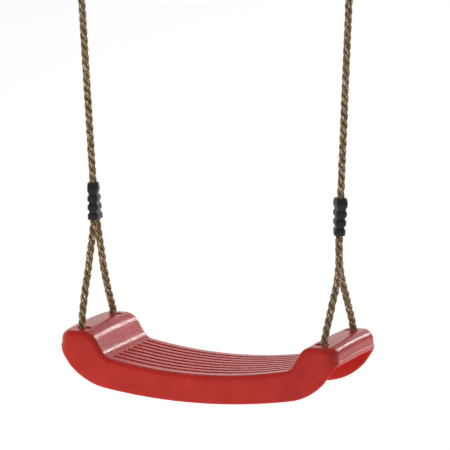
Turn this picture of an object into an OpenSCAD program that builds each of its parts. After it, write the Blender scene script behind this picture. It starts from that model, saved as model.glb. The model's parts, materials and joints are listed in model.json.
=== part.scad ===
// Dished board swing seat on two ropes, hung from a pair of steel rings.
// Frame: origin midway between the two hanging points, +X to the right, +Y back, +Z up.

/* [Seat] */
// Length of the seat from end to end
seat_l = 430; // [400:5:460]
// Depth of the seat from front to back
seat_w = 166; // [150:2:180]
// Thickness of the moulded shell
wall = 3.5; // [2.5:0.5:5]
// Plan radius of the four corners
corner_r = 24; // [12:1:26]
// Height of the roll tops above the middle of the deck
sag = 53; // [48:1:60]
// Height of the roll tops above the lowest point of the skirts
seat_h = 94; // [86:1:100]
// Width of each deck groove
groove_w = 8; // [5:0.5:9]
// Depth of each deck groove
groove_d = 1.5; // [1:0.5:2]
// Half distance between the rope holes along the seat
hole_x = 187; // [184:1:190]
// Half distance between the rope holes across the seat
hole_y = 56; // [50:0.5:58]

/* [Ropes] */
// Diameter of the ropes
rope_d = 10; // [9:0.5:10]
// Height between the sleeves of one side
rope_drop = 304; // [250:1:900]
// Lean of each rope, outwards going up
lean = 3; // [0:0.25:4]
// Height of the lower sleeves' mouths above the roll tops
fork_h = 148; // [140:1:150]

/* [Sleeves] */
// Length of a rope sleeve
sleeve_l = 53; // [52:1:60]
// Width of a sleeve's ribs across its two strands
sleeve_a = 16; // [15:0.5:18]
// Length of a sleeve's ribs along its two strands
sleeve_b = 25.5; // [25:0.5:28]
// Twist of a sleeve from mouth to mouth
sleeve_twist = 18; // [0:1:24]
// Turn of the right lower sleeve about its rope
right_turn = 26; // [0:1:30]

/* [Rings] */
// Half distance between the two hanging points
hang_half = 207.5; // [200:0.5:215]
// Clear diameter of a hanging ring
ring_d = 45; // [40:1:60]
// Diameter of a ring's bar
bar_d = 7; // [6:0.5:8]

/* [Hidden] */
LEFT = -1;
RIGHT = 1;
SEAT_RED = [0.68, 0.17, 0.15];
SLEEVE_BLACK = [0.13, 0.13, 0.14];
ROPE_TAN = [0.52, 0.43, 0.3];
STEEL = [0.72, 0.73, 0.75];
$fn = 48;
PAST = 40;          // how far a cutter runs past what it cuts
ROPE_SIDES = 10;    // sides of a rope tube
SOCKET_GAP = 0.5;   // clearance round a rope's ball end
EYE_GAP = 0.3;      // clearance of a thimble on its ring's bar

// Heights down one side, from the hanging point
ring_r = (ring_d + bar_d) / 2;
bar_z = -ring_d / 2 - ring_r;
crown_in_r = 12.5;
crown_z = bar_z + bar_d / 2 + EYE_GAP - crown_in_r;
eye_drop = 38;
upper_top_z = crown_z - eye_drop;
sway_z = upper_top_z - sleeve_l;
level_z = sway_z - rope_drop;
level_x = hang_half - rope_drop * tan(lean);
tilt_z = level_z - sleeve_l * cos(lean);
tilt_x = level_x - sleeve_l * sin(lean);
roll_z = tilt_z - fork_h;

// Points of an arc about c, from angle a0 to a1
function arc(c, r, a0, a1, n) = [for (i = [0:n])
    c + r * [cos(a0 + (a1 - a0) * i / n), sin(a0 + (a1 - a0) * i / n)]];
function mirrored(points) = [for (i = [len(points) - 1:-1:0]) [-points[i][0], points[i][1]]];

// ---- Seat outline along X, with z = 0 at the roll tops ----
deck_r = 664;       // radius of the dish
foot_x = 134.5;     // where the dish ends and the roll's foot begins
foot_r = 20;
slope = 60.6;       // steepest slope of a roll's inner face
brow_r = 24;        // convex edge between the inner face and the roll top
end_r = 14;         // convex edge between the roll top and the end wall
crest_x = seat_l / 2 - 17;
end_top = 27;       // height of the end wall
foot_a = asin(foot_x / deck_r);
deck_c = [0, deck_r - sag];
foot_c = deck_c + (deck_r - foot_r) * [sin(foot_a), -cos(foot_a)];
foot_end = foot_c + foot_r * [sin(slope), -cos(slope)];
brow_dz = brow_r * (1 - cos(slope));
brow_x = foot_end[0] + (-brow_dz - foot_end[1]) / tan(slope);
brow_c = [brow_x + brow_r * sin(slope), -brow_r];

// Right half of the upper surface, moved inwards by d
function top_half(d) = concat(
    arc(deck_c, deck_r + d, -90, -90 + foot_a, 14),
    arc(foot_c, foot_r + d, -90 + foot_a, -90 + slope, 6),
    arc(brow_c, brow_r - d, 90 + slope, 90, 6),
    arc([crest_x, -end_r], end_r - d, 90, 8, 6),
    [[seat_l / 2 - d, -end_top + 10 - d]]);

// Right half of the lower edge of the skirts
under_r = 850;
turn_x = 144;       // where the lower edge starts to sweep up
sweep_r = 90;
turn_a = asin(turn_x / under_r);
under_c = [0, under_r - seat_h];
sweep_c = under_c + (under_r - sweep_r) * [sin(turn_a), -cos(turn_a)];
sweep_a = acos((sweep_c[1] + end_top) / sweep_r);
lower_half = concat(
    arc(under_c, under_r, -90, -90 + turn_a, 10),
    arc(sweep_c, sweep_r, -90 + turn_a, -90 + sweep_a, 8),
    [[seat_l / 2, -end_top]]);

module outer_profile() {
    upper = concat(mirrored(top_half(0)), top_half(0));
    lower = concat(mirrored(lower_half), lower_half);
    polygon(concat(upper, [for (i = [len(lower) - 1:-1:0]) lower[i]]));
}

module inner_profile() {
    upper = concat(mirrored(top_half(wall)), top_half(wall));
    polygon(concat(upper, [[seat_l / 2 - wall, -seat_h - PAST], [wall - seat_l / 2, -seat_h - PAST]]));
}

module rounded_rect(a, b, r) {
    square([a - 2 * r, b], center = true);
    square([a, b - 2 * r], center = true);
    for (x = [-1, 1], y = [-1, 1])
        translate([x * (a / 2 - r), y * (b / 2 - r)]) circle(r);
}

// A shape drawn in XZ, extruded along Y through the seat, within a rounded plan
// and under roll tops that are lower at the front and back
across_r = 1430;    // radius of the roll tops across the seat
module seat_solid(d) {
    intersection() {
        translate([0, seat_w, 0]) rotate([90, 0, 0]) linear_extrude(2 * seat_w) children();
        translate([0, 0, -seat_h - PAST / 2]) linear_extrude(seat_h + PAST)
            rounded_rect(seat_l - 2 * d, seat_w - 2 * d, corner_r - d);
        translate([0, 0, -across_r]) rotate([0, 90, 0])
            cylinder(r = across_r - d, h = seat_l + PAST, center = true, $fn = 360);
    }
}

slot_l = 20;
slot_w = 13;
slot_in = 3;        // how far a slot's middle lies inwards of its rope
module rope_slot() {
    linear_extrude(PAST, center = true) {
        square([slot_l - slot_w, slot_w], center = true);
        for (s = [-1, 1]) translate([s * (slot_l - slot_w) / 2, 0]) circle(slot_w / 2);
    }
}

// One groove: a band of the deck's arc, open upwards
groove_n = 8;
groove_pitch = 17;
groove_half = 133;
module grooves() {
    a = asin(groove_half / deck_r);
    band = concat(arc(deck_c, deck_r + groove_d, -90 - a, -90 + a, 24),
        arc(deck_c, deck_r - groove_d, -90 + a, -90 - a, 24));
    for (i = [0:groove_n - 1])
        translate([0, (i - (groove_n - 1) / 2) * groove_pitch + groove_w / 2, 0])
            rotate([90, 0, 0]) linear_extrude(groove_w) polygon(band);
}

module seat() {
    color(SEAT_RED) translate([0, 0, roll_z]) difference() {
        seat_solid(0) outer_profile();
        seat_solid(wall) inner_profile();
        grooves();
        for (x = [-1, 1], y = [-1, 1])
            translate([x * (hole_x - slot_in), y * hole_y, 0]) rope_slot();
    }
}

// ---- Rings and thimbles ----
module ring(side) {
    color(STEEL) translate([side * hang_half, 0, bar_z + ring_r]) rotate([90, 0, 0])
        rotate_extrude() translate([ring_r, 0]) circle(bar_d / 2);
}

crown_wrap = 35;    // how far the crown wraps below its middle, each side
leg_l = 12;
channel_r = 20.5;   // radius of the rope's middle round the crown
groove_r = rope_d / 2 + 0.6;
thimble_half = 6.5;
module channel() {
    intersection() {
        difference() {
            translate([0, -thimble_half]) square([17.5, 2 * thimble_half]);
            translate([channel_r, 0]) circle(groove_r);
        }
        // The face that bears on the bar bulges towards it
        translate([crown_in_r + 16, 0]) circle(16);
    }
}
module thimble(side) {
    color(STEEL) translate([side * hang_half, 0, crown_z]) rotate([90, 0, 90]) {
        rotate([0, 0, -crown_wrap]) rotate_extrude(angle = 180 + 2 * crown_wrap) channel();
        for (s = [0, 1]) mirror([s, 0, 0]) rotate([0, 0, -crown_wrap]) rotate([90, 0, 0])
            linear_extrude(leg_l) channel();
    }
}

// ---- Sleeves ----
cap_h = 12.5;       // height of the block at the single rope's mouth
rib_h = 7.5;
foot_h = 8.5;       // height of the last rib, round the two strands
ribbed_h = sleeve_l - cap_h - foot_h;
rib_z = [-cap_h - 0.31 * ribbed_h, -cap_h - 0.71 * ribbed_h]; // middles of the two ribs
core_inset = 2;
pocket_a = rope_d + 2;
pocket_b = 2 * rope_d + 2;
pocket_h = 6.5;
ball_r = rope_d / 2 + SOCKET_GAP;
// Single rope's mouth at the origin, the two strands' mouth below it
module sleeve_shape(turn) {
    twist_rate = sleeve_twist / sleeve_l;
    difference() {
        union() {
            intersection() {
                rotate(turn + sleeve_twist) translate([0, 0, -cap_h])
                    linear_extrude(cap_h) rounded_rect(sleeve_a, sleeve_b, 5);
                translate([0, 0, -cap_h]) cylinder(h = cap_h, r1 = 19, r2 = 9.5);
            }
            for (z = rib_z)
                rotate(turn + sleeve_twist + z * twist_rate) translate([0, 0, z - rib_h / 2])
                    linear_extrude(rib_h) rounded_rect(sleeve_a, sleeve_b, 5);
            rotate(turn + sleeve_twist / 2) translate([0, 0, 1 - sleeve_l])
                linear_extrude(sleeve_l - 2)
                rounded_rect(sleeve_a - 2 * core_inset, sleeve_b - 2 * core_inset, 5);
            rotate(turn) translate([0, 0, -sleeve_l])
                linear_extrude(foot_h) rounded_rect(sleeve_a, sleeve_b, 5);
        }
        sphere(ball_r);
        rotate(turn) translate([0, 0, -sleeve_l - PAST])
            linear_extrude(PAST + pocket_h) rounded_rect(pocket_a, pocket_b, 5);
    }
}
module lower_sleeve(side, turn) {
    color(SLEEVE_BLACK) translate([side * level_x, 0, level_z]) rotate([0, side * lean, 0])
        sleeve_shape(turn);
}
module upper_sleeve(side) {
    color(SLEEVE_BLACK) translate([side * hang_half, 0, sway_z]) mirror([0, 0, 1]) sleeve_shape(0);
}

// ---- Ropes ----
// A tube along a route; sizes scales each ring's radius, for round ends
function unit(v) = v / norm(v);
function heading(p, i) = unit(p[min(i + 1, len(p) - 1)] - p[max(i - 1, 0)]);
function ring_points(p, i, r, side_axis) = let(
    t = heading(p, i),
    u = unit(side_axis - (side_axis * t) * t),
    v = cross(t, u))
    [for (k = [0:ROPE_SIDES - 1]) let(a = 360 * k / ROPE_SIDES)
        p[i] + r * (cos(a) * u + sin(a) * v)];
module tube(p, r, side_axis, sizes) {
    n = ROPE_SIDES;
    last = len(p) - 1;
    points = [for (i = [0:last]) each ring_points(p, i, r * sizes[i], side_axis)];
    walls = [for (i = [0:last - 1], k = [0:n - 1]) let(m = (k + 1) % n)
        each [[i * n + k, i * n + m, (i + 1) * n + m], [i * n + k, (i + 1) * n + m, (i + 1) * n + k]]];
    start = [for (k = [n - 1:-1:0]) k];
    end = [for (k = [0:n - 1]) last * n + k];
    polyhedron(points, concat([start], walls, [end]));
}
function ones(p) = [for (q = p) 1];

// Standing rope: straight, with a ball end in the socket of each sleeve.
// Rings of a ball end: height and radius, as parts of the rope's radius
BALL_END = [[0.94, 0.34], [0.71, 0.71], [0.38, 0.92], [0, 1]];
module standing_rope(side) {
    length = rope_drop / cos(lean);
    r = rope_d / 2;
    top = [for (b = BALL_END) [0, 0, b[0] * r]];
    bottom = [for (i = [len(BALL_END) - 1:-1:0]) [0, 0, -length] - top[i]];
    middle = [for (i = [1:5]) [0, 0, -length * i / 6]];
    ends = [for (b = BALL_END) b[1]];
    sizes = concat(ends, [1, 1, 1, 1, 1], [for (i = [len(ends) - 1:-1:0]) ends[i]]);
    color(ROPE_TAN) translate([side * hang_half, 0, sway_z]) rotate([0, side * lean, 0])
        tube(concat(top, middle, bottom), r, [1, 0, 0], sizes);
}

// Rope round a thimble, from the crown's middle down one side: across, up
EYE_ROUTE = [[0, 20.5], [10.3, 17.8], [17.8, 10.3], [20.5, 0], [19.5, -6], [17, -12],
    [9.5, -22.5], [6.5, -30], [5.2, -38], [5.2, -44.5]];
module eye_rope(side) {
    last = len(EYE_ROUTE) - 1;
    back = [for (i = [last:-1:1]) [0, EYE_ROUTE[i][0], EYE_ROUTE[i][1]]];
    front = [for (p = EYE_ROUTE) [0, -p[0], p[1]]];
    route = concat(back, front);
    color(ROPE_TAN) translate([side * hang_half, 0, crown_z])
        tube(route, rope_d / 2, [1, 0, 0], ones(route));
}

// Fork under a lower sleeve: across the rope, front to back, height over the roll tops.
// The front strand runs down through its hole, the middle under the roll, the back up.
LEFT_FRONT = [[0, -5.2, 149.5], [0, -6.5, 140], [0, -14, 120], [0, -22, 100], [0, -30, 79],
    [0, -42, 53], [0, -52, 27], [0, -56, 10]];
LEFT_BACK = [[0, 5.2, 149.5], [0, 6.5, 140], [0, 12, 120], [0, 18, 101], [0, 25, 73],
    [0, 35, 48], [0, 46, 24], [0, 54.5, 9]];
RIGHT_FRONT = [[2.2, -4.7, 149.5], [2.3, -4.9, 139], [2.4, -5.5, 116], [2, -7, 95],
    [1, -11, 77], [0, -21, 59], [0, -36, 35], [0, -52.5, 11]];
RIGHT_BACK = [[-2.2, 4.7, 149.5], [-2.3, 4.9, 139], [-2.5, 6.5, 116], [-2, 10, 95],
    [-1, 16, 77], [0, 26, 57], [0, 41.5, 32], [0, 54, 10]];
UNDER_ROLL = [[0, 56.5, -3], [0, 55, -12.5], [0, 48, -21.5], [0, 36, -25], [0, 12, -25]];
module fork_rope(side, front, back) {
    local = concat(front, [for (p = UNDER_ROLL) [p[0], -p[1], p[2]]],
        [for (i = [len(UNDER_ROLL) - 1:-1:0]) UNDER_ROLL[i]],
        [for (i = [len(back) - 1:-1:0]) back[i]]);
    drift = (tilt_x - hole_x) / fork_h;
    route = [for (p = local) [side * (hole_x + drift * max(p[2], 0)) + p[0], p[1], p[2]]];
    color(ROPE_TAN) translate([0, 0, roll_z]) tube(route, rope_d / 2, [1, 0, 0], ones(route));
}

seat();
ring(LEFT);  // left_ring
ring(RIGHT);  // right_ring
thimble(LEFT);  // left_thimble
thimble(RIGHT);  // right_thimble
eye_rope(LEFT);  // left_eye_rope
eye_rope(RIGHT);  // right_eye_rope
upper_sleeve(LEFT);  // left_upper_sleeve
upper_sleeve(RIGHT);  // right_upper_sleeve
standing_rope(LEFT);  // left_rope
standing_rope(RIGHT);  // right_rope
lower_sleeve(LEFT, 0);  // left_lower_sleeve
lower_sleeve(RIGHT, right_turn);  // right_lower_sleeve
fork_rope(LEFT, LEFT_FRONT, LEFT_BACK);  // left_fork_rope
fork_rope(RIGHT, RIGHT_FRONT, RIGHT_BACK);  // right_fork_rope
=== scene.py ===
"""Looks of a dished board swing on two laid ropes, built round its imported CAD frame.

Metres, in the frame's own axes: +X to the right, +Y back, +Z up. Lengths in millimetres are times MM.
"""
import json
import math

import bmesh
import bpy
import numpy as np
from mathutils import Matrix, Vector


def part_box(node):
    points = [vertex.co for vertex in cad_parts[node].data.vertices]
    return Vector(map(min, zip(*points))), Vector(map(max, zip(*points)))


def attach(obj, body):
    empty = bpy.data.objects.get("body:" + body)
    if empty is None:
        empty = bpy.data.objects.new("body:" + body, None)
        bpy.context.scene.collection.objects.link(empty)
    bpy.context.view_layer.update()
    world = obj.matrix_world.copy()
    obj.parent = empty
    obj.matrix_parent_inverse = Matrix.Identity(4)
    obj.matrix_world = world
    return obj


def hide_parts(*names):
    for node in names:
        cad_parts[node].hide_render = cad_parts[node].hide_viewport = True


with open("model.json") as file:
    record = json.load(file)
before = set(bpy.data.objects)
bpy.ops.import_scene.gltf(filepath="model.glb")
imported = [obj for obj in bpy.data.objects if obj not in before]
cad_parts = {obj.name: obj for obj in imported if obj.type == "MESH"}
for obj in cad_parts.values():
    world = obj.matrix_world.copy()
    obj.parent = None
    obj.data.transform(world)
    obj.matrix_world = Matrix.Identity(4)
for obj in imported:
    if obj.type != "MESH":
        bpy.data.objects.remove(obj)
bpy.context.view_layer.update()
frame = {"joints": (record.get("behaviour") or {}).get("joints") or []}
MM = 0.001
LEFT, RIGHT = -1, 1
SIDE_NAMES = {LEFT: "left", RIGHT: "right"}

# ---- Places, all from the frame ----
PIVOTS = {joint["name"]: np.array(joint["pos_m"]) for joint in frame["joints"]}
SEAT_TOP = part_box("seat")[1]
ROLL_Z = SEAT_TOP.z                      # height of the roll tops
HALF_L = SEAT_TOP.x                      # half length of the seat
HALF_W = SEAT_TOP.y                      # half depth of the seat
SWAY = PIVOTS["right_sway"]              # mouth of an upper sleeve
LEVEL = PIVOTS["right_level"]            # upper mouth of a lower sleeve
TILT_X = abs(PIVOTS["seat_tilt"][0])     # lower mouth of a lower sleeve
TILT_Z = PIVOTS["seat_tilt"][2]
HANG_X = SWAY[0]
LEAN = math.atan2(SWAY[0] - LEVEL[0], SWAY[2] - LEVEL[2])
LIP_R = 17.5 * MM                        # outer radius of a thimble's round crown
CROWN_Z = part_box("right_thimble")[1].z - LIP_R   # height of that crown's middle


# ---- Camera ----
def add_camera():
    azimuth, elevation, roll = (math.radians(a) for a in (22.6, 10.46, -0.6))
    distance = 9.9
    lens = 554
    target = Vector((0.0134, 0, ROLL_Z + 0.151))
    right = Vector((math.cos(azimuth), math.sin(azimuth), 0))
    back = Vector((math.sin(azimuth) * math.cos(elevation),
                   -math.cos(azimuth) * math.cos(elevation), math.sin(elevation)))
    up = back.cross(right)
    side = right * math.cos(roll) + up * math.sin(roll)
    top = up * math.cos(roll) - right * math.sin(roll)
    data = bpy.data.cameras.new("camera")
    data.sensor_width = 36
    data.lens = lens
    data.clip_end = 100
    camera = bpy.data.objects.new("camera", data)
    camera.matrix_world = Matrix.Translation(target + back * distance) @ Matrix(
        (side, top, back)).transposed().to_4x4()
    bpy.context.scene.collection.objects.link(camera)
    bpy.context.scene.camera = camera


# ---- Mesh helpers ----
def new_piece(name, points, faces, material, body, replaces=()):
    mesh = bpy.data.meshes.new(name)
    mesh.from_pydata(np.asarray(points).tolist(), [], faces)
    mesh.materials.append(material)
    mesh.shade_smooth()
    piece = bpy.data.objects.new(name, mesh)
    bpy.context.scene.collection.objects.link(piece)
    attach(piece, body)
    if replaces:
        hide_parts(*replaces)
    return piece


def set_attribute(mesh, name, values):
    """A number or a vector for each point of the mesh, for its material to read."""
    values = np.asarray(values, np.float32)
    kind, field = ("FLOAT", "value") if values.ndim == 1 else ("FLOAT_VECTOR", "vector")
    mesh.attributes.new(name, kind, "POINT").data.foreach_set(field, values.ravel())


def tube(rings):
    """Points and faces of a closed tube through rings of points, turning anticlockwise about its way."""
    rows, columns, _ = rings.shape
    row, column = np.meshgrid(np.arange(rows - 1), np.arange(columns), indexing="ij")
    here = row * columns + column
    beside = row * columns + (column + 1) % columns
    faces = np.stack([here, beside, beside + columns, here + columns], -1).reshape(-1, 4).tolist()
    points = np.vstack([rings.reshape(-1, 3), rings[0].mean(0), rings[-1].mean(0)])
    first, last = len(points) - 2, len(points) - 1
    end = (rows - 1) * columns
    for k in range(columns):
        after = (k + 1) % columns
        faces.append([first, after, k])
        faces.append([last, end + k, end + after])
    return points, faces


def smoothstep(low, high, value):
    t = np.clip((value - low) / (high - low), 0, 1)
    return t * t * (3 - 2 * t)


def unit(rows):
    return rows / np.linalg.norm(rows, axis=-1, keepdims=True)


# ---- Material helpers ----
class Nodes:
    """A material's node tree, with a short call for each kind of node that is used."""

    def __init__(self, name):
        self.material = bpy.data.materials.new(name)
        self.material.use_nodes = True
        self.tree = self.material.node_tree
        self.tree.nodes.clear()
        self.output = self.add("ShaderNodeOutputMaterial")

    def add(self, kind, **settings):
        node = self.tree.nodes.new(kind)
        for name, value in settings.items():
            setattr(node, name, value)
        return node

    def plug(self, node, values):
        for name, value in values.items():
            if isinstance(value, bpy.types.NodeSocket):
                self.tree.links.new(value, node.inputs[name])
            else:
                node.inputs[name].default_value = value

    def principled(self, **values):
        shader = self.add("ShaderNodeBsdfPrincipled")
        self.plug(shader, {name.replace("_", " "): value for name, value in values.items()})
        self.tree.links.new(shader.outputs[0], self.output.inputs["Surface"])

    def attribute(self, name, output):
        return self.add("ShaderNodeAttribute", attribute_name=name).outputs[output]

    def place(self):
        return self.add("ShaderNodeTexCoord").outputs["Object"]

    def stretched(self, vector, scale):
        node = self.add("ShaderNodeMapping")
        self.plug(node, {"Vector": vector, "Scale": scale})
        return node.outputs[0]

    def noise(self, vector, scale, detail=3.0, roughness=0.5):
        node = self.add("ShaderNodeTexNoise")
        self.plug(node, {"Vector": vector, "Scale": scale, "Detail": detail, "Roughness": roughness})
        return node.outputs["Fac"]

    def cells(self, vector, scale, feature="F1"):
        node = self.add("ShaderNodeTexVoronoi", feature=feature)
        self.plug(node, {"Vector": vector, "Scale": scale})
        return node

    def spread(self, value, low, high, to_low=0.0, to_high=1.0):
        node = self.add("ShaderNodeMapRange", interpolation_type="SMOOTHSTEP")
        self.plug(node, {"Value": value, "From Min": low, "From Max": high,
                         "To Min": to_low, "To Max": to_high})
        return node.outputs[0]

    def maths(self, operation, first, second):
        node = self.add("ShaderNodeMath", operation=operation)
        for socket, value in zip(node.inputs, (first, second)):
            if isinstance(value, bpy.types.NodeSocket):
                self.tree.links.new(value, socket)
            else:
                socket.default_value = value
        return node.outputs[0]

    def mix(self, factor, first, second):
        node = self.add("ShaderNodeMix", data_type="RGBA")
        factor_in, first_in, second_in = node.inputs[0], node.inputs[6], node.inputs[7]
        for socket, value in ((factor_in, factor), (first_in, first), (second_in, second)):
            if isinstance(value, bpy.types.NodeSocket):
                self.tree.links.new(value, socket)
            else:
                socket.default_value = value
        return node.outputs[2]

    def bump(self, height, distance, strength=1.0, under=None):
        node = self.add("ShaderNodeBump")
        values = {"Height": height, "Distance": distance, "Strength": strength}
        if under is not None:
            values["Normal"] = under
        self.plug(node, values)
        return node.outputs[0]


def colour(red, green, blue):
    """A colour given as a screen shows it, 0 to 255, turned into the linear one that shaders take."""
    def linear(value):
        value /= 255
        return value / 12.92 if value <= 0.04045 else ((value + 0.055) / 1.055) ** 2.4
    return (linear(red), linear(green), linear(blue), 1)


# ---- Materials ----
def rope_material():
    n = Nodes("rope_fibre")
    laid = n.attribute("laid", "Vector")
    valley_shade = n.attribute("valley_shade", "Fac")
    fibres = n.noise(n.stretched(laid, (1, 1, 0.12)), 2600, 4, 0.65)
    yarns = n.noise(n.stretched(laid, (1, 1, 0.05)), 1100, 2)
    patches = n.noise(laid, 120, 3)
    flecks = n.noise(n.stretched(laid, (1, 1, 0.4)), 520, 2)
    dark = n.noise(n.stretched(laid, (1, 1, 0.45)), 380, 2)
    tan = n.mix(n.spread(patches, 0.35, 0.65), colour(118, 92, 56), colour(152, 127, 86))
    tan = n.mix(n.spread(fibres, 0.45, 0.75), tan, colour(182, 160, 116))
    tan = n.mix(n.spread(flecks, 0.53, 0.63, 0, 0.9), tan, colour(236, 222, 186))
    tan = n.mix(n.spread(dark, 0.53, 0.66, 0, 0.8), tan, colour(72, 48, 22))
    # Painted shade: the valleys between the strands are darkened towards dark brown.
    tan = n.mix(n.spread(valley_shade, 0.0, 0.75), tan, colour(48, 32, 16))
    height = n.maths("ADD", fibres, n.maths("MULTIPLY", yarns, 1.6))
    n.principled(Base_Color=tan, Roughness=0.72, Sheen_Weight=0.15, Sheen_Roughness=0.5,
                 Normal=n.bump(height, 0.5 * MM, 0.8))
    return n.material


def seat_material():
    n = Nodes("seat_red_plastic")
    place = n.place()
    grain = n.attribute("grain", "Fac")
    pebbles = n.cells(place, 900, "SMOOTH_F1").outputs["Distance"]
    coarse = n.noise(place, 360, 2)
    clouds = n.noise(place, 28, 3)
    streaks = n.noise(place, 260, 3)
    red = n.mix(n.spread(clouds, 0.3, 0.7), colour(174, 37, 29), colour(186, 46, 36))
    height = n.maths("MULTIPLY", n.maths("ADD", n.maths("MULTIPLY", pebbles, 0.3), coarse), grain)
    pebbled = n.bump(height, 0.22 * MM, 1.0)
    smooth = n.bump(streaks, 0.05 * MM, 0.35, under=pebbled)
    mottled = n.maths("MULTIPLY", n.spread(coarse, 0.35, 0.65, -0.03, 0.06), grain)
    roughness = n.maths("ADD", n.spread(clouds, 0.2, 0.8, 0.28, 0.32), mottled)
    n.principled(Base_Color=red, Roughness=roughness, Specular_IOR_Level=0.36, Normal=smooth,
                 Subsurface_Weight=0.7, Subsurface_Radius=(1.0, 0.3, 0.12),
                 Subsurface_Scale=10 * MM)
    return n.material


def sleeve_material():
    n = Nodes("sleeve_black_plastic")
    place = n.place()
    clouds = n.noise(place, 190, 4, 0.6)
    scuffs = n.noise(place, 900, 3, 0.6)
    black = n.mix(n.spread(clouds, 0.35, 0.7), colour(26, 26, 29), colour(40, 40, 44))
    black = n.mix(n.spread(scuffs, 0.62, 0.75, 0, 0.4), black, colour(84, 84, 88))
    n.principled(Base_Color=black, Roughness=n.spread(clouds, 0.2, 0.8, 0.38, 0.55),
                 Normal=n.bump(n.maths("ADD", scuffs, clouds), 0.25 * MM, 0.7))
    return n.material


def steel_material():
    n = Nodes("galvanised_steel")
    place = n.place()
    spangle = n.cells(place, 420).outputs["Color"]
    tone = n.spread(spangle, 0.1, 0.9)
    grime = n.noise(place, 150, 4)
    grey = n.mix(tone, colour(172, 175, 178), colour(206, 208, 211))
    grey = n.mix(n.spread(grime, 0.58, 0.8, 0, 0.5), grey, colour(128, 126, 122))
    n.principled(Base_Color=grey, Metallic=1.0, Roughness=n.spread(tone, 0, 1, 0.3, 0.46),
                 Normal=n.bump(n.noise(place, 1300, 3), 0.06 * MM, 0.6))
    return n.material


# ---- Ropes ----
ROPE_D = 10 * MM
LAY = 38 * MM              # length in which a strand goes once round the rope
STRAND_RING = 2.3 * MM     # distance of a strand's middle from the rope's
STRAND_R = 3.2 * MM
ROPE_SIDES = 72
ROPE_STEP = 1.1 * MM
YARNS = 21                 # yarns seen round the rope
YARN_DEPTH = 0.16 * MM
THIRD = 2 * math.pi / 3
TAIL = 4.7 * MM            # how far a standing rope goes into each sleeve


def smooth_route(points, softness=5 * MM):
    """Evenly spaced points along a listed route, with its corners rounded off."""
    points = np.array(points, float)
    run = 3 * softness
    before = points[0] + run * unit(points[0] - points[1])
    after = points[-1] + run * unit(points[-1] - points[-2])
    points = np.vstack([before, points, after])
    along = np.r_[0, np.cumsum(np.linalg.norm(np.diff(points, axis=0), axis=1))]
    count = int(along[-1] / ROPE_STEP)
    even = np.linspace(0, along[-1], count + 1)
    fine = np.stack([np.interp(even, along, points[:, axis]) for axis in range(3)], 1)
    reach = int(run / (along[-1] / count))
    weights = np.exp(-0.5 * (np.arange(-reach, reach + 1) / reach * 3) ** 2)
    weights /= weights.sum()
    return np.stack([np.convolve(fine[:, axis], weights, "valid") for axis in range(3)], 1)


def carried_axes(path, side):
    """Two axes across the path at each point, carried along it without twist."""
    ways = unit(np.gradient(path, axis=0))
    first = np.array(side, float)
    firsts = []
    for way in ways:
        first = unit(first - way * first.dot(way))
        firsts.append(first)
    firsts = np.array(firsts)
    return firsts, np.cross(ways, firsts)


def laid_rope(name, route, material, body, cad_node, seed):
    """One length of three-strand rope, its strands turning left-handed."""
    path = smooth_route(route)
    across, other = carried_axes(path, (1, 0, 0))
    steps = np.linalg.norm(np.diff(path, axis=0), axis=1)
    along = np.r_[0, np.cumsum(steps)][:, None]
    length = along[-1, 0]
    around = np.linspace(0, 2 * math.pi, ROPE_SIDES, endpoint=False)[None]
    from_strand = (around + THIRD / 2) % THIRD - THIRD / 2
    strand = np.floor((around + THIRD / 2) / THIRD)
    outline = STRAND_RING * np.cos(from_strand) + np.sqrt(
        STRAND_R ** 2 - (STRAND_RING * np.sin(from_strand)) ** 2)
    uneven = 1 + 0.02 * np.sin(along / (7.1 * MM) + strand * 2.3 + seed) + 0.015 * np.sin(
        along / (3.3 * MM) + strand * 4.1 + seed * 1.7)
    angle = around - 2 * math.pi * along / LAY + seed
    ripple = YARN_DEPTH * (np.abs(np.cos(YARNS * angle / 2)) - 1)
    from_end = np.minimum(along, length - along) / (ROPE_D / 2)
    rounded = np.sqrt(np.clip(1 - (1 - np.clip(from_end, 0, 1)) ** 2, 0.02, 1))
    radius = (outline * uneven + ripple) * rounded
    rings = path[:, None] + radius[..., None] * (
        np.cos(angle)[..., None] * across[:, None] + np.sin(angle)[..., None] * other[:, None])
    points, faces = tube(rings)
    piece = new_piece(name, points, faces, material, body, [cad_node])
    flat = np.stack([radius * np.cos(angle), radius * np.sin(angle), along + 0 * radius], -1)
    ends = [(0, 0, 0), (0, 0, length)]
    set_attribute(piece.data, "laid", np.vstack([flat.reshape(-1, 3), ends]))
    # Painted shade: 1 in the valleys between strands and at the end caps' middles, 0 on the strands'
    # crowns.
    valley_shade = smoothstep(0.6, 1.0, np.abs(from_strand) / (THIRD / 2)) + 0 * along
    set_attribute(piece.data, "valley_shade", np.r_[valley_shade.ravel(), 1, 1])


# The routes' points, in mm: across the rope, front to back, height
EYE_ROUTE = [(0, 20.5), (10.3, 17.8), (17.8, 10.3), (20.5, 0), (19.5, -6), (17, -12),
             (9.5, -22.5), (6.5, -30), (5.2, -38), (5.2, -44.5)]
LEFT_FRONT = [(0, -5.2, 149.5), (0, -6.5, 140), (0, -14, 120), (0, -22, 100), (0, -30, 79),
              (0, -42, 53), (0, -52, 27), (0, -56, 10)]
LEFT_BACK = [(0, 5.2, 149.5), (0, 6.5, 140), (0, 12, 120), (0, 18, 101), (0, 25, 73),
             (0, 35, 48), (0, 46, 24), (0, 54.5, 9)]
RIGHT_FRONT = [(2.2, -4.7, 149.5), (2.3, -4.9, 139), (2.4, -5.5, 116), (2, -7, 95),
               (1, -11, 77), (0, -21, 59), (0, -36, 35), (0, -52.5, 11)]
RIGHT_BACK = [(-2.2, 4.7, 149.5), (-2.3, 4.9, 139), (-2.5, 6.5, 116), (-2, 10, 95),
              (-1, 16, 77), (0, 26, 57), (0, 41.5, 32), (0, 54, 10)]
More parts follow.
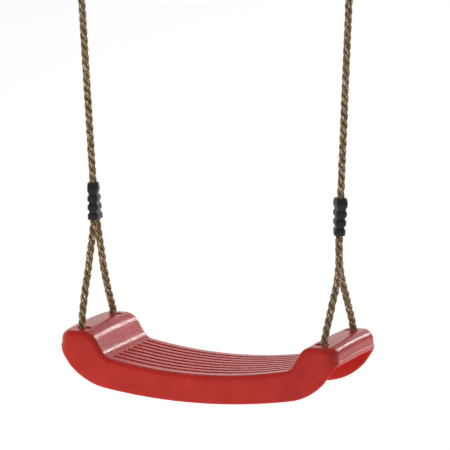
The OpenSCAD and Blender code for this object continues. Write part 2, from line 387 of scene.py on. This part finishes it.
UNDER_ROLL = [(0, 56.5, -3), (0, 55, -12.5), (0, 48, -21.5), (0, 36, -25), (0, 12, -25)]
HOLE_X = 187               # where the ropes go through the seat, from its middle, in mm
FORK_H = (TILT_Z - ROLL_Z) / MM   # height of a fork over the roll tops, in mm


def eye_route(side):
    back = [(0, y, z) for y, z in reversed(EYE_ROUTE[1:])]
    front = [(0, -y, z) for y, z in EYE_ROUTE]
    return np.array(back + front) * MM + (side * HANG_X, 0, CROWN_Z)


def fork_route(side):
    front, back = (LEFT_FRONT, LEFT_BACK) if side == LEFT else (RIGHT_FRONT, RIGHT_BACK)
    under = [(x, -y, z) for x, y, z in UNDER_ROLL] + UNDER_ROLL[::-1]
    drift = (TILT_X / MM - HOLE_X) / FORK_H
    return np.array([(side * (HOLE_X + drift * max(z, 0)) + x, y, z)
                     for x, y, z in front + under + back[::-1]]) * MM + (0, 0, ROLL_Z)


def standing_route(side):
    """Straight, from inside the lower sleeve's socket to inside the upper one's."""
    mirror = np.array((side, 1, 1))
    low, high = LEVEL * mirror, SWAY * mirror
    tail = unit(high - low) * TAIL
    return [low - tail, (low + high) / 2, high + tail]


def add_ropes():
    material = rope_material()
    for side, name in SIDE_NAMES.items():
        laid_rope(f"{name}_eye_laid_rope", eye_route(side), material,
                  f"{name}_eye", f"{name}_eye_rope", 1.1 + side)
        laid_rope(f"{name}_standing_laid_rope", standing_route(side), material,
                  f"{name}_line", f"{name}_rope", 2.9 + side)
        laid_rope(f"{name}_fork_laid_rope", fork_route(side), material,
                  "seat", f"{name}_fork_rope", 4.3 + side)


# ---- Seat ----
WALL = 3.5 * MM
RIM_R = 1.2 * MM               # radius of the skirts' lower rim
CORNER_R = 18 * MM
SAG = 53 * MM
DECK_R = 664 * MM
FOOT_X, FOOT_R = 134.5 * MM, 20 * MM
SLOPE = math.radians(60.6)
BROW_R = 24 * MM
DEPTH = 94 * MM                # from the roll tops to the lowest point
UNDER_R, SWEEP_X, SWEEP_R = 850 * MM, 144 * MM, 90 * MM
END_FOOT = 27 * MM             # from the roll tops to the foot of the end walls
SIDE_FILLET, END_FILLET = 7.5 * MM, 14 * MM
END_INSET = 1.3 * MM           # how far the end wall's top leans in
SIDE_DRAFT = 0.043
CROWN = 0.9 * MM               # rise of the deck's middle across it
GROOVE_PITCH, GROOVE_HALF_W, GROOVE_DEPTH = 17 * MM, 4 * MM, 1.5 * MM
GROOVE_HALF_L = 137.5 * MM
GROOVES = 8
SLOT_X, SLOT_Y = 184 * MM, 56 * MM
SLOT_R, SLOT_STRAIGHT = 6.5 * MM, 3.5 * MM
SLOT_FILLET, SLOT_UNDER_FILLET = 1.8 * MM, 0.8 * MM
SLOT_BLOCK_X, SLOT_BLOCK_Y = 168 * MM, 44.5 * MM   # inner corner of the patch a slot is cut in
# The end wall's lean and lip: depth under the roll tops, how far in from the seat's end, in mm
END_WALL = [(14, 1.3), (19.6, 1.0), (20.2, 1.0), (20.7, 1.6), (21.2, 1.6), (21.9, 0.5), (22.5, 0.1),
            (23.5, 0), (27, 0)]
ROLL_CROWN = 2.4 * MM          # how much lower the roll tops are at the front and back
CORNER_PULL = 0.6 * MM         # how far the ends draw in at the front and back


def arc(centre, radius, start, stop):
    """Points every half millimetre or less along an arc, angles from +X."""
    count = max(int(abs(stop - start) * radius / (0.5 * MM)), 2)
    turn = np.linspace(start, stop, count)
    return np.array(centre) + radius * np.stack([np.cos(turn), np.sin(turn)], 1)


def top_profile():
    """The seat's top along X: point and upward normal by arc length, from end band to end band."""
    foot_turn = math.asin(FOOT_X / DECK_R)
    deck = np.array([0, DECK_R - SAG])
    foot = deck + (DECK_R - FOOT_R) * np.array([math.sin(foot_turn), -math.cos(foot_turn)])
    foot_end = foot + FOOT_R * np.array([math.sin(SLOPE), -math.cos(SLOPE)])
    brow_start_z = -BROW_R * (1 - math.cos(SLOPE))
    brow_start_x = foot_end[0] + (brow_start_z - foot_end[1]) / math.tan(SLOPE)
    brow = (brow_start_x + BROW_R * math.sin(SLOPE), -BROW_R)
    quarter = math.pi / 2
    half = np.vstack([
        arc(deck, DECK_R, -quarter, foot_turn - quarter),
        arc(foot, FOOT_R, foot_turn - quarter, SLOPE - quarter),
        arc(brow, BROW_R, quarter + SLOPE, quarter),
        [(HALF_L - CORNER_R, 0), (HALF_L + CORNER_R, 0)]])
    along = np.r_[0, np.cumsum(np.linalg.norm(np.diff(half, axis=0), axis=1))]
    keep = np.r_[True, np.diff(along) > 1e-7]
    even = np.arange(0, along[-1], 0.25 * MM)
    half = np.stack([np.interp(even, along[keep], half[keep, axis]) for axis in (0, 1)], 1)
    whole = np.vstack([half[:0:-1] * (-1, 1), half])
    blur = np.exp(-0.5 * (np.arange(-18, 19) / 6) ** 2)
    blur /= blur.sum()
    whole = np.stack([np.convolve(whole[:, axis], blur, "valid") for axis in (0, 1)], 1)
    along = np.r_[0, np.cumsum(np.linalg.norm(np.diff(whole, axis=0), axis=1))]
    along -= along[-1] / 2
    ways = unit(np.gradient(whole, axis=0))
    normals = np.stack([-ways[:, 1], ways[:, 0]], 1)
    return along, whole, normals


def profile_stations():
    """Rows of the seat along X: close together where the top bends or a groove ends."""
    along, points, normals = top_profile()
    band = np.interp(HALF_L - CORNER_R, points[:, 0], along)
    groove_end = np.interp(GROOVE_HALF_L, points[:, 0], along)
    brow_end = np.interp(SLOT_BLOCK_X, points[:, 0], along)
    half = [0]
    for stop, step in ((groove_end - 9 * MM, 2.3 * MM), (groove_end + 2 * MM, 0.7 * MM),
                       (brow_end, 1.4 * MM), (band, 1.4 * MM)):
        count = math.ceil((stop - half[-1]) / step)
        half.extend(np.linspace(half[-1], stop, count + 1)[1:])
    half = np.array(half)
    where = np.r_[-half[:0:-1], half]
    def sample(rows):
        return np.stack([np.interp(where, along, rows[:, axis]) for axis in (0, 1)], 1)
    return sample(points), unit(sample(normals))


def groove_centres():
    return (np.arange(GROOVES) - (GROOVES - 1) / 2) * GROOVE_PITCH


def depth_stations():
    """Columns of the seat across it, close together at the grooves' edges."""
    offsets = np.array([0, 2, 3, 3.4, 3.7, 4, 4.3, 4.7]) * MM
    half = HALF_W - CORNER_R
    found = [half, -half]
    for centre in groove_centres():
        found.extend(centre + offsets)
        found.extend(centre - offsets)
        found.append(centre + GROOVE_PITCH / 2)
    found = np.unique(np.round(found, 7))
    return found[np.abs(found) <= half + 1e-7]


def groove_depth(x, y):
    """How deep the grooves are at a point, with round ends and eased edges."""
    past = np.maximum(np.abs(x) - (GROOVE_HALF_L - GROOVE_HALF_W), 0)
    deepest = np.zeros(np.broadcast(x, y).shape)
    for centre in groove_centres():
        distance = np.hypot(past, y - centre)
        share = smoothstep(GROOVE_HALF_W + 0.45 * MM, GROOVE_HALF_W - 0.55 * MM, distance)
        deepest = np.maximum(deepest, GROOVE_DEPTH * share)
    return deepest


def crown(x, y):
    on_deck = 1 - smoothstep(118 * MM, 150 * MM, np.abs(x))
    return CROWN * on_deck * (1 - (y / HALF_W) ** 2)


def lower_edge(x):
    """Height of the skirts' lower edge under the roll tops."""
    x = np.abs(x)
    turn = math.asin(SWEEP_X / UNDER_R)
    sweep_x = (UNDER_R - SWEEP_R) * math.sin(turn)
    sweep_z = UNDER_R - DEPTH - (UNDER_R - SWEEP_R) * math.cos(turn)
    flat = UNDER_R - DEPTH - np.sqrt(UNDER_R ** 2 - np.minimum(x, SWEEP_X) ** 2)
    reach = np.clip(x - sweep_x, 0, SWEEP_R)
    swept = sweep_z - np.sqrt(SWEEP_R ** 2 - reach ** 2)
    swept = np.where(x < SWEEP_X, flat, swept)
    # Ease the corner where the sweep meets the end's level foot
    return 0.5 * (swept - END_FOOT - np.sqrt((swept + END_FOOT) ** 2 + (2 * MM) ** 2))


class Surfaces:
    """Grids of points that become one mesh, joined where their points meet."""

    def __init__(self):
        self.points, self.faces = [], []

    def add(self, grid, flip=False, leave_out=None):
        rows, columns, _ = grid.shape
        start = sum(len(p) for p in self.points)
        self.points.append(grid.reshape(-1, 3))
        row, column = np.meshgrid(np.arange(rows - 1), np.arange(columns - 1), indexing="ij")
        here = start + row * columns + column
        quads = np.stack([here, here + columns, here + columns + 1, here + 1], -1)
        if flip:
            quads = quads[..., ::-1]
        if leave_out is not None:
            quads = quads[~leave_out]
        self.faces.extend(quads.reshape(-1, 4).tolist())

    def joined(self):
        mesh = bpy.data.meshes.new("joining")
        mesh.from_pydata(np.vstack(self.points).tolist(), [], self.faces)
        work = bmesh.new()
        work.from_mesh(mesh)
        bmesh.ops.remove_doubles(work, verts=work.verts, dist=0.02 * MM)
        work.to_mesh(mesh)
        work.free()
        return mesh


def outline_stations(top, normals, columns):
    """Round the seat, anticlockwise from above: base point, its top normal, plan direction, end weight."""
    half_x, half_y = HALF_L - CORNER_R, HALF_W - CORNER_R
    rows = []
    def fan(x, y, start):
        for turn in np.linspace(start, start + math.pi / 2, 15)[1:-1]:
            way = (math.cos(turn), math.sin(turn), 0)
            weight = float(smoothstep(0.05, 0.95, abs(way[0])))
            rows.append(((x, y, 0), (0, 0, 1), way, weight))
    for point, normal in zip(top, normals):
        rows.append(((point[0], -half_y, point[1]), (normal[0], 0, normal[1]), (0, -1, 0), 0.0))
    fan(half_x, -half_y, -math.pi / 2)
    for y in columns:
        rows.append(((half_x, y, 0), (0, 0, 1), (1, 0, 0), 1.0))
    fan(half_x, half_y, 0)
    for point, normal in zip(top[::-1], normals[::-1]):
        rows.append(((point[0], half_y, point[1]), (normal[0], 0, normal[1]), (0, 1, 0), 0.0))
    fan(-half_x, half_y, math.pi / 2)
    for y in columns[::-1]:
        rows.append(((-half_x, y, 0), (0, 0, 1), (-1, 0, 0), 1.0))
    fan(-half_x, -half_y, math.pi)
    rows.append(rows[0])
    base, up, way, weight = (np.array(part, float) for part in zip(*rows))
    return base, up, way, weight


def edge_band(top, normals, columns):
    """The seat from its middle's border over the round edge, down the walls, round the rim and back up."""
    base, up, way, weight = outline_stations(top, normals, columns)
    radius = SIDE_FILLET + (END_FILLET - SIDE_FILLET) * weight
    lean = END_INSET * weight
    lift = crown(base[:, 0], base[:, 1])
    rise = base + up * lift[:, None]
    layers = []
    # Over the round edge: even angles on the fillet, after a few stations on the flat
    for share in np.linspace(0, 1, 6)[:-1]:
        inwards = CORNER_R - (CORNER_R - radius - lean) * share
        layers.append(rise + way * (CORNER_R - inwards)[:, None])
    for turn in np.linspace(0, math.pi / 2, 13):
        inwards = lean + radius * (1 - math.sin(turn))
        drop = radius * (1 - math.cos(turn))
        layers.append(rise + way * (CORNER_R - inwards)[:, None] - up * drop[:, None])
    brink = layers[-1]
    foot = lower_edge(brink[:, 0])
    depths, insets = np.array(END_WALL).T * MM
    def wall(share, inner):
        """A layer of the wall: share 0 at the brink, 1 just over the rim."""
        height = brink[:, 2] + (foot + RIM_R - brink[:, 2]) * share
        drafted = SIDE_DRAFT * (brink[:, 2] - height)
        leaned = np.interp(-height, depths, insets)
        inset = drafted * (1 - weight) + leaned * weight + inner
        layer = base + way * (CORNER_R - inset)[:, None]
        layer[:, 0] = layer[:, 0] + brink[:, 0] - (base + way * (CORNER_R - lean)[:, None])[:, 0]
        layer[:, 2] = height
        return layer
    shares = np.r_[np.linspace(0.1, 0.42, 4), np.linspace(0.445, 0.76, 13), np.linspace(0.82, 1, 3)]
    for share in shares:
        layers.append(wall(share, 0))
    outer, inner = wall(1, 0), wall(1, WALL)
    for turn in np.linspace(0, math.pi / 2, 5)[1:]:
        layers.append(outer - way * RIM_R * (1 - math.cos(turn)) - (0, 0, RIM_R * math.sin(turn)))
    for turn in np.linspace(math.pi / 2, 0, 5):
        layers.append(inner + way * RIM_R * (1 - math.cos(turn)) - (0, 0, RIM_R * math.sin(turn)))
    for share in np.linspace(1, 0, 12)[1:-1]:
        layers.append(wall(share, WALL))
    # Back in under the top, round the inside of the same edge
    inner_radius = radius - WALL
    for turn in np.linspace(math.pi / 2, 0, 8):
        inwards = lean + WALL + inner_radius * (1 - math.sin(turn))
        drop = WALL + inner_radius * (1 - math.cos(turn))
        layers.append(rise + way * (CORNER_R - inwards)[:, None] - up * drop[:, None])
    for share in np.linspace(0, 1, 5)[1:]:
        inwards = CORNER_R - (CORNER_R - radius - lean) * (1 - share)
        layers.append(rise + way * (CORNER_R - inwards)[:, None] - up * WALL)
    return np.stack(layers, 1)


def slot_rings(loop_top, loop_under, centre_x, centre_y, heights):
    """Rings from the border of a patch on the top, in over the slot's edge, down it and out below."""
    def radial(loop):
        """The nearest point of the slot's middle line, and the way out from it."""
        middle = loop.copy()
        middle[:, 0] = np.clip(loop[:, 0], centre_x - SLOT_STRAIGHT, centre_x + SLOT_STRAIGHT)
        middle[:, 1] = centre_y
        way = loop - middle
        way[:, 2] = 0
        return middle, unit(way)
    def surface(points, drop, under):
        points[:, 2] = heights(points[:, 0], under) + drop
        return points
    middle, way = radial(loop_top)
    rings = [loop_top]
    edge = middle + way * (SLOT_R + SLOT_FILLET)
    for share in (0.3, 0.6, 0.85):
        rings.append(surface(loop_top * (1 - share) + edge * share, 0, False))
    for turn in np.linspace(0, math.pi / 2, 8):
        out = SLOT_FILLET * (1 - math.sin(turn))
        drop = SLOT_FILLET * (1 - math.cos(turn))
        rings.append(surface(middle + way * (SLOT_R + out), -drop, False))
    for turn in np.linspace(math.pi / 2, 0, 5):
        out = SLOT_UNDER_FILLET * (1 - math.sin(turn))
        lift = SLOT_UNDER_FILLET * (1 - math.cos(turn))
        rings.append(surface(middle + way * (SLOT_R + out), lift, True))
    edge = middle + way * (SLOT_R + SLOT_UNDER_FILLET)
    for share in (0.3, 0.7):
        rings.append(surface(edge * (1 - share) + loop_under * share, 0, True))
    rings.append(loop_under)
    return np.stack(rings, 1)


def border(grid, rows, columns):
    """The points round a block of a grid, anticlockwise, ending where they start."""
    (r0, r1), (c0, c1) = rows, columns
    loop = [grid[r0:r1, c0], grid[r1, c0:c1], grid[r1:r0:-1, c1], grid[r0, c1:c0:-1], grid[r0:r0 + 1, c0]]
    return np.vstack(loop)


def seat_mesh():
    top, normals = profile_stations()
    columns = depth_stations()
    x, y = top[:, :1], columns[None]
    lifted = crown(x, y) - groove_depth(x, y)
    def sheet(offset):
        flat = top[:, None] + normals[:, None] * offset[..., None]
        return np.stack([flat[..., 0], np.broadcast_to(y, offset.shape), flat[..., 1]], -1)
    upper = sheet(lifted)
    under = sheet(lifted - WALL)
    surfaces = Surfaces()
    slot_blocks = []
    holes = np.zeros((len(top) - 1, columns.size - 1), bool)
    row_in = int(np.argmin(np.abs(top[:, 0] - SLOT_BLOCK_X)))
    column_in = int(np.argmin(np.abs(columns - SLOT_BLOCK_Y)))
    last_row, last_column = len(top) - 1, columns.size - 1
    for rows in ((0, last_row - row_in), (row_in, last_row)):
        for cols in ((0, last_column - column_in), (column_in, last_column)):
            holes[rows[0]:rows[1], cols[0]:cols[1]] = True
            slot_blocks.append((rows, cols))
    surfaces.add(upper, leave_out=holes)
    surfaces.add(under, flip=True, leave_out=holes)
    surfaces.add(edge_band(top, normals, columns), flip=True)
    below = top - normals * WALL
    def heights(at, inside):
        line = below if inside else top
        return np.interp(at, line[:, 0], line[:, 1])
    for rows, cols in slot_blocks:
        side_x = 1 if rows[0] else -1
        side_y = 1 if cols[0] else -1
        rings = slot_rings(border(upper, rows, cols), border(under, rows, cols),
                           side_x * SLOT_X, side_y * SLOT_Y, heights)
        surfaces.add(rings)
    return surfaces.joined()


def soften_ends(mesh):
    """Round the rolls: lower at their front and back edges, with the ends drawn in at the corners."""
    points = np.empty(len(mesh.vertices) * 3)
    mesh.vertices.foreach_get("co", points)
    points = points.reshape(-1, 3)
    x, y, z = points.T.copy()
    near_end = smoothstep(118 * MM, 190 * MM, np.abs(x))
    share = np.abs(y) / HALF_W
    points[:, 0] -= np.sign(x) * near_end * CORNER_PULL * share ** 4
    points[:, 2] -= near_end * smoothstep(-45 * MM, -8 * MM, z) * ROLL_CROWN * share ** 2
    mesh.vertices.foreach_set("co", points.ravel())


def add_seat():
    mesh = seat_mesh()
    soften_ends(mesh)
    mesh.transform(Matrix.Translation((0, 0, ROLL_Z)))
    mesh.name = "seat_shell"
    mesh.materials.append(seat_material())
    mesh.shade_smooth()
    count = len(mesh.vertices)
    points, normals = np.empty(count * 3), np.empty(count * 3)
    mesh.vertices.foreach_get("co", points)
    mesh.vertex_normals.foreach_get("vector", normals)
    points, normals = points.reshape(-1, 3), normals.reshape(-1, 3)
    clear = 1 - smoothstep(HALF_W - 8.5 * MM, HALF_W - 6 * MM, np.abs(points[:, 1]))
    set_attribute(mesh, "grain", clear * smoothstep(0.1, 0.35, normals[:, 2]))
    seat = bpy.data.objects.new("seat_shell", mesh)
    bpy.context.scene.collection.objects.link(seat)
    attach(seat, "seat")
    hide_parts("seat")


# ---- Sleeves ----
SLEEVE_L = 53 * MM
HALF_A, HALF_B = 8 * MM, 12.75 * MM     # half width and half length of a sleeve's section
SLEEVE_R = 5 * MM
SLEEVE_TWIST = math.radians(18)
RIGHT_TURN = math.radians(26)
CAP_H, RIB_H, FOOT_H = 12.5 * MM, 7.5 * MM, 8.5 * MM
RIBBED_H = SLEEVE_L - CAP_H - FOOT_H
RIB_TOPS = [-CAP_H - share * RIBBED_H + RIB_H / 2 for share in (0.31, 0.71)]
CORE_INSET = 2 * MM
TOP_REACH, FLARE = 9.5 * MM, 0.76       # furthest reach from the rope at the top, and its growth downwards
POCKET_A, POCKET_B, POCKET_H = 6.2 * MM, 11.6 * MM, 6.5 * MM
SOCKET_R = 5.9 * MM
EDGE_R = 0.9 * MM
RIB_BULGE = 0.12 * MM                   # how far a rib stands out at its middle
NECK_H = 1.2 * MM                       # height over which a rib falls back to the core
POCKET_R = 5 * MM                       # radius of the pocket's corners


def rounded_section(half_a, half_b, radius):
    """Points round a rectangle with round corners, each at the same place whatever its size."""
    points = []
    for quarter, (sx, sy) in enumerate(((1, 1), (-1, 1), (-1, -1), (1, -1))):
        centre = np.array((sx * (half_a - radius), sy * (half_b - radius)))
        for step in range(12):
            turn = math.pi / 2 * (quarter + step / 11)
            points.append(centre + radius * np.array((math.cos(turn), math.sin(turn))))
        following = ((-1, 1), (-1, -1), (1, -1), (1, 1))[quarter]
        turn = math.pi / 2 * (quarter + 1)
        away = np.array((following[0] * (half_a - radius), following[1] * (half_b - radius)))
        away = away + radius * np.array((math.cos(turn), math.sin(turn)))
        for share in np.linspace(0, 1, 7)[1:-1]:
            points.append(points[quarter * 17 + 11] * (1 - share) + away * share)
    return np.array(points)


def flange(top, bottom):
    """Height and inset of one rib's rounded outside."""
    rows = []
    for turn in np.linspace(0, math.pi / 2, 5):
        rows.append((top - EDGE_R * (1 - math.cos(turn)), EDGE_R * (1 - math.sin(turn))))
    rows.append(((top + bottom) / 2, -RIB_BULGE))
    for turn in np.linspace(math.pi / 2, 0, 5):
        rows.append((bottom + EDGE_R * (1 - math.cos(turn)), EDGE_R * (1 - math.sin(turn))))
    return rows


def sleeve_rings(turn):
    """The sleeve's outside and its two mouths, with the single rope's mouth at the origin."""
    rings = []
    def ring(height, half_a, half_b, radius, limit=None):
        section = rounded_section(half_a, half_b, radius)
        reach = np.linalg.norm(section, axis=1, keepdims=True)
        if limit is not None:
            section = section * np.minimum(1, limit / reach)
        spin = turn + SLEEVE_TWIST * (1 + height / SLEEVE_L)
        x = section[:, 0] * math.cos(spin) - section[:, 1] * math.sin(spin)
        y = section[:, 0] * math.sin(spin) + section[:, 1] * math.cos(spin)
        rings.append(np.stack([x, y, np.full(len(x), height)], 1))
    def outside(height, inset):
        cone = TOP_REACH - height * FLARE
        ring(height, HALF_A - inset, HALF_B - inset, max(SLEEVE_R - inset, 1 * MM), cone - inset)
    def round_hole(height, radius):
        ring(height, HALF_A, HALF_B, SLEEVE_R, radius)
    for height, share in ((-4.9, 0.35), (-4.2, 0.65), (-3, 0.85), (-1.2, 0.98)):
        round_hole(height * MM, SOCKET_R * share)
    round_hole(-0.5 * MM, SOCKET_R)
    round_hole(-0.12 * MM, SOCKET_R + 0.25 * MM)
    round_hole(0, SOCKET_R + 0.6 * MM)
    for height, inset in flange(0, -CAP_H):
        outside(height, inset)
    for top in RIB_TOPS:
        outside(top + NECK_H, CORE_INSET)
        for height, inset in flange(top, top - RIB_H):
            outside(height, inset)
        outside(top - RIB_H - NECK_H, CORE_INSET)
    outside(-SLEEVE_L + FOOT_H + NECK_H, CORE_INSET)
    for height, inset in flange(-SLEEVE_L + FOOT_H, -SLEEVE_L):
        outside(height, inset)
    for height, out in ((-SLEEVE_L, 0.5), (-SLEEVE_L + 0.15 * MM, 0.15), (-SLEEVE_L + 0.6 * MM, 0),
                        (-SLEEVE_L + POCKET_H, 0)):
        ring(height, POCKET_A + out * MM, POCKET_B + out * MM, POCKET_R + out * MM)
    return np.array(rings[::-1])


def add_sleeves():
    material = sleeve_material()
    for side, name in SIDE_NAMES.items():
        turn = 0 if side == LEFT else RIGHT_TURN
        rings = sleeve_rings(turn)
        lean = np.array(Matrix.Rotation(side * LEAN, 3, "Y"))
        points, faces = tube(rings)
        lower = points @ lean.T + LEVEL * (side, 1, 1)
        new_piece(f"{name}_lower_ribbed_sleeve", lower, faces, material,
                  f"{name}_grip", [f"{name}_lower_sleeve"])
        points, faces = tube(sleeve_rings(0)[::-1] * (1, 1, -1))
        upper = points + SWAY * (side, 1, 1)
        new_piece(f"{name}_upper_ribbed_sleeve", upper, faces, material,
                  f"{name}_eye", [f"{name}_upper_sleeve"])


# ---- Thimbles and rings ----
CROWN_IN_R = 12.5 * MM
CROWN_WRAP = math.radians(35)
BEARING_R = 16 * MM
CHANNEL_R, GROOVE_R = 20.5 * MM, 5.6 * MM
THIMBLE_HALF = 6.5 * MM
LIP_EASE = 0.6 * MM         # cut off the corner between the bearing face and a lip
# Along a thimble's leg: distance from the crown in mm, and how much of the full section is left
LEG_STATIONS = [(4, 1), (8, 1), (11, 1), (11.7, 0.93), (12, 0.8)]


def channel_section():
    """The thimble's section: distance from the crown's middle, and offset across it."""
    rows = []
    centre = CROWN_IN_R + BEARING_R
    widest = math.asin((THIMBLE_HALF - LIP_EASE) / BEARING_R)
    for turn in np.linspace(-widest, widest, 11):
        rows.append((centre - BEARING_R * math.cos(turn), BEARING_R * math.sin(turn)))
    groove_x = math.sqrt(GROOVE_R ** 2 - (CHANNEL_R - LIP_R) ** 2)
    lip_mid = (THIMBLE_HALF + groove_x) / 2
    lip_half = (THIMBLE_HALF - groove_x) / 2
    rows.append((rows[-1][0] + LIP_EASE, THIMBLE_HALF))
    for turn in np.linspace(0, math.pi, 7):
        rows.append((LIP_R - lip_half + lip_half * math.sin(turn), lip_mid + lip_half * math.cos(turn)))
    opening = math.acos((CHANNEL_R - LIP_R + lip_half) / GROOVE_R)
    for turn in np.linspace(opening, -opening, 15)[1:-1]:
        rows.append((CHANNEL_R - GROOVE_R * math.cos(turn), GROOVE_R * math.sin(turn)))
    for turn in np.linspace(math.pi, 0, 7):
        rows.append((LIP_R - lip_half + lip_half * math.sin(turn), -lip_mid - lip_half * math.cos(turn)))
    rows.append((rows[0][0] + LIP_EASE, -THIMBLE_HALF))
    return np.array(rows)


def thimble_rings():
    """The channel swept down one leg, round the crown and down the other, in the YZ plane."""
    section = channel_section()
    middle = section.mean(0)
    rings = []
    def ring(turn, down, size=1.0):
        out = np.array((0, math.cos(turn), math.sin(turn)))
        lower = 1 if math.cos(turn) > 0 else -1
        leg = down * np.array((0, lower * math.sin(turn), -lower * math.cos(turn)))
        sized = middle + (section - middle) * size
        rings.append(leg + sized[:, :1] * out + sized[:, 1:] * np.array((1, 0, 0)))
    start, stop = -CROWN_WRAP, math.pi + CROWN_WRAP
    for down, size in LEG_STATIONS[::-1]:
        ring(start, down * MM, size)
    for turn in np.linspace(start, stop, 61):
        ring(turn, 0)
    for down, size in LEG_STATIONS:
        ring(stop, down * MM, size)
    return np.array(rings)


def ring_rings(name):
    """A round bar bent into a ring, with a ground-down weld at its outer side."""
    low, high = (np.array(corner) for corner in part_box(name))
    centre = (low + high) / 2
    bar = (high[1] - low[1]) / 2
    radius = (high[2] - low[2]) / 2 - bar
    outer = 0 if centre[0] > 0 else math.pi
    rings = []
    count = 160
    for step in range(count):
        turn = 2 * math.pi * step / count
        off = (turn - outer + math.pi) % (2 * math.pi) - math.pi
        weld = 1 + 0.07 * math.exp(-(off / 0.07) ** 2) - 0.03 * math.exp(-((abs(off) - 0.15) / 0.03) ** 2)
        out = np.array((math.cos(turn), 0, math.sin(turn)))
        around = np.linspace(0, 2 * math.pi, 32, endpoint=False)[:, None]
        rings.append(centre + out * radius + bar * weld * (
            np.cos(around) * out + np.sin(around) * np.array((0, 1, 0))))
    return np.array(rings)


def wrapped(rings):
    """Points and faces of a tube that runs back into itself."""
    rows, columns, _ = rings.shape
    row, column = np.meshgrid(np.arange(rows), np.arange(columns), indexing="ij")
    after, beside = (row + 1) % rows, (column + 1) % columns
    faces = np.stack([row * columns + column, row * columns + beside,
                      after * columns + beside, after * columns + column], -1)
    return rings.reshape(-1, 3), faces.reshape(-1, 4)[:, ::-1].tolist()


def add_steel():
    material = steel_material()
    for side, name in SIDE_NAMES.items():
        points, faces = tube(thimble_rings())
        points = points + (side * HANG_X, 0, CROWN_Z)
        new_piece(f"{name}_thimble_channel", points, faces, material,
                  f"{name}_eye", [f"{name}_thimble"])
        points, faces = wrapped(ring_rings(f"{name}_ring"))
        new_piece(f"{name}_hanging_ring", points, faces, material, "rings", [f"{name}_ring"])


# ---- Studio ----
FLOOR_DROP = 0.42          # floor under the seat's lowest point
FLOOR_REACH = 30           # half the floor's side
BRIGHT_SIDE = (-0.4, 0.9, 0.17)   # the way to the room's brightest part
LAMP_FAR = 8                      # distance of the lamp behind


def floor_material():
    n = Nodes("white_floor")
    way_back = n.add("ShaderNodeSeparateXYZ")
    n.plug(way_back, {"Vector": n.place()})
    # Painted light: the floor gives off light of its own, weak in front and brighter towards the back, a
    # painted pool of light.
    glow = n.spread(way_back.outputs["Y"], -1.2, 0.5, 0.14, 0.54)
    n.principled(Base_Color=(0.9, 0.9, 0.9, 1), Roughness=0.9,
                 Emission_Color=(1, 1, 1, 1), Emission_Strength=glow)
    return n.material


def add_world():
    """A white room that is brightest behind the swing, low and to its left."""
    world = bpy.data.worlds.new("white_room")
    world.use_nodes = True
    tree = world.node_tree
    way = tree.nodes.new("ShaderNodeTexCoord").outputs["Generated"]
    towards = tree.nodes.new("ShaderNodeVectorMath")
    towards.operation = "DOT_PRODUCT"
    tree.links.new(way, towards.inputs[0])
    towards.inputs[1].default_value = BRIGHT_SIDE
    strength = tree.nodes.new("ShaderNodeMapRange")
    strength.interpolation_type = "SMOOTHSTEP"
    for name, value in (("From Min", 0.74), ("From Max", 1.0), ("To Min", 0.33), ("To Max", 1.15)):
        strength.inputs[name].default_value = value
    tree.links.new(towards.outputs["Value"], strength.inputs["Value"])
    tree.links.new(strength.outputs[0], tree.nodes["Background"].inputs["Strength"])
    tree.nodes["Background"].inputs["Color"].default_value = (1, 1, 1, 1)
    bpy.context.scene.world = world


def add_area_light(name, place, aim, width, height, power, tint=(1, 1, 1), mirrored=True):
    """A lamp; one that is not mirrored lights things without showing as a highlight on them."""
    data = bpy.data.lights.new(name, "AREA")
    data.shape = "RECTANGLE"
    data.size, data.size_y = width, height
    data.energy = power
    data.color = tint
    light = bpy.data.objects.new(name, data)
    light.location = place
    light.visible_glossy = mirrored
    light.rotation_mode = "QUATERNION"
    light.rotation_quaternion = (place - aim).to_track_quat("Z", "Y")
    bpy.context.scene.collection.objects.link(light)


def add_studio():
    scene = bpy.context.scene
    scene.view_settings.view_transform = "Standard"
    add_world()
    level = ROLL_Z - DEPTH - FLOOR_DROP
    mesh = bpy.data.meshes.new("floor")
    mesh.from_pydata([(x * FLOOR_REACH, y * FLOOR_REACH, level)
                      for x, y in ((-1, -1), (1, -1), (1, 1), (-1, 1))], [], [(0, 1, 2, 3)])
    mesh.materials.append(floor_material())
    floor = bpy.data.objects.new("floor", mesh)
    scene.collection.objects.link(floor)
    middle = Vector((0, 0, ROLL_Z - 0.04))
    add_area_light("lamp_behind", middle + Vector((0.25, 0.908, 0.337)) * LAMP_FAR, middle,
                   0.7, 0.7, 100)
    add_area_light("soft_top", middle + Vector((-0.5, -0.6, 2.2)), middle, 2.0, 2.0, 14,
                   mirrored=False)
    add_area_light("low_glow", middle + Vector((-0.6, -0.9, -0.3)), middle + Vector((-0.1, 0, 0)),
                   0.6, 0.3, 4, (1, 0.78, 0.6), mirrored=False)
    add_area_light("glow_behind", middle + Vector((0.5, 1.2, -0.1)), middle + Vector((0.15, 0, 0)),
                   0.8, 0.5, 10, (1, 0.85, 0.7), mirrored=False)


add_camera()
add_ropes()
add_seat()
add_sleeves()
add_steel()
add_studio()
